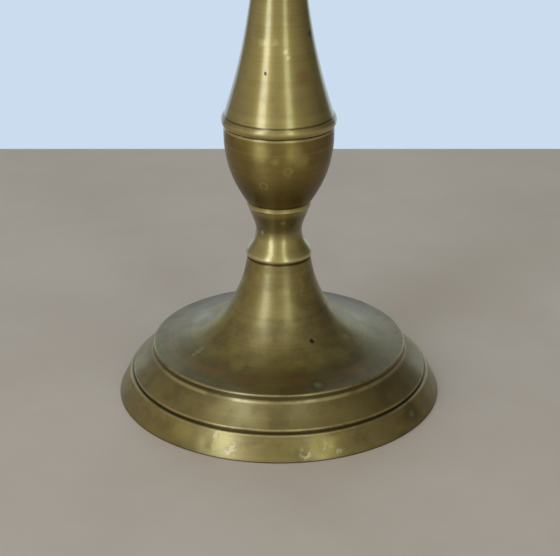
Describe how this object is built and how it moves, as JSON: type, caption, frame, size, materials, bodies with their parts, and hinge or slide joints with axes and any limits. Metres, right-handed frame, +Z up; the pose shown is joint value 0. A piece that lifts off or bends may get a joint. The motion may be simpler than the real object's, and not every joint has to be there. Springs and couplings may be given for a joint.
{
  "type": "altar candlestick",
  "caption": "Turned brass candlestick with a broad stepped round foot, waisted knops, tapering stem, drip pan and a candle cup with a lift-out nozzle.",
  "frame": {"origin": "centre of the circle that the foot stands on", "axes": "+Z up along the turning axis; X and Y are interchangeable"},
  "size_m": [0.11, 0.11, 0.238],
  "materials": {
    "aged_brass_foot": "turned cast brass, old lacquer worn off, brown tarnish with yellow rubbed patches",
    "aged_brass_stem": "turned brass, satin lathe lines, olive brown tarnish",
    "aged_brass_top": "turned brass, satin, lighter on its edges",
    "dark_steel": "plain steel, dull and slightly oiled"
  },
  "bodies": {
    "stick": {"foot": "aged_brass_foot", "reel_knop": "aged_brass_stem", "acorn_bowl": "aged_brass_stem", "tapered_stem": "aged_brass_stem", "neck_ring_knop": "aged_brass_top", "pan_stalk": "aged_brass_top", "drip_pan": "aged_brass_top", "candle_cup": "aged_brass_top", "tie_rod": "dark_steel", "foot_plate_washer": "dark_steel", "foot_spring_washer": "dark_steel", "foot_nut": "dark_steel", "cup_washer": "dark_steel", "cup_nut": "dark_steel"},
    "nozzle": {"candle_nozzle": "aged_brass_top"}
  },
  "joints": [
    {"name": "nozzle_lift", "type": "slide", "parent": "stick", "child": "nozzle", "axis": [0, 0, 1], "range_m": [0, 0.035]}
  ]
}
